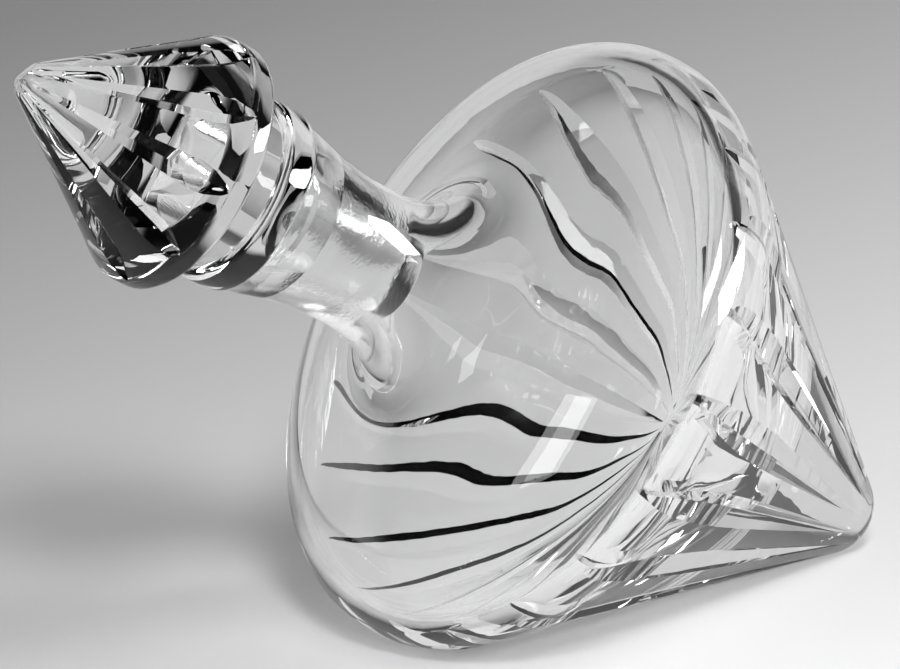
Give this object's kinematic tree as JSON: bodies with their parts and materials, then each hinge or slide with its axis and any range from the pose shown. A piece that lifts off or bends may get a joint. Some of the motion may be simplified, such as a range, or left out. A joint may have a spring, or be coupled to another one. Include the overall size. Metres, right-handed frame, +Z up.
{
  "type": "glass decanter",
  "caption": "Cut-glass decanter without a foot that lies on its ridged conical body, with a ground-in stopper that has a cut conical head.",
  "frame": {"origin": "middle of the box at the level of the surface that the decanter lies on", "axes": "+Z up, -X towards the neck and stopper, which rise to that side, +X towards the pointed tip; X and Z span the plane of symmetry"},
  "size_m": [0.2296, 0.1598, 0.1608],
  "materials": {
    "body_glass": "polished clear",
    "stopper_glass": "polished clear"
  },
  "bodies": {
    "body": {"decanter_body": "body_glass"},
    "stopper": {"stopper": "stopper_glass"}
  },
  "joints": [
    {"name": "stopper_lift", "type": "slide", "parent": "body", "child": "stopper", "axis": [-0.8292, 0, 0.5589], "range_m": [0, 0.06]}
  ]
}
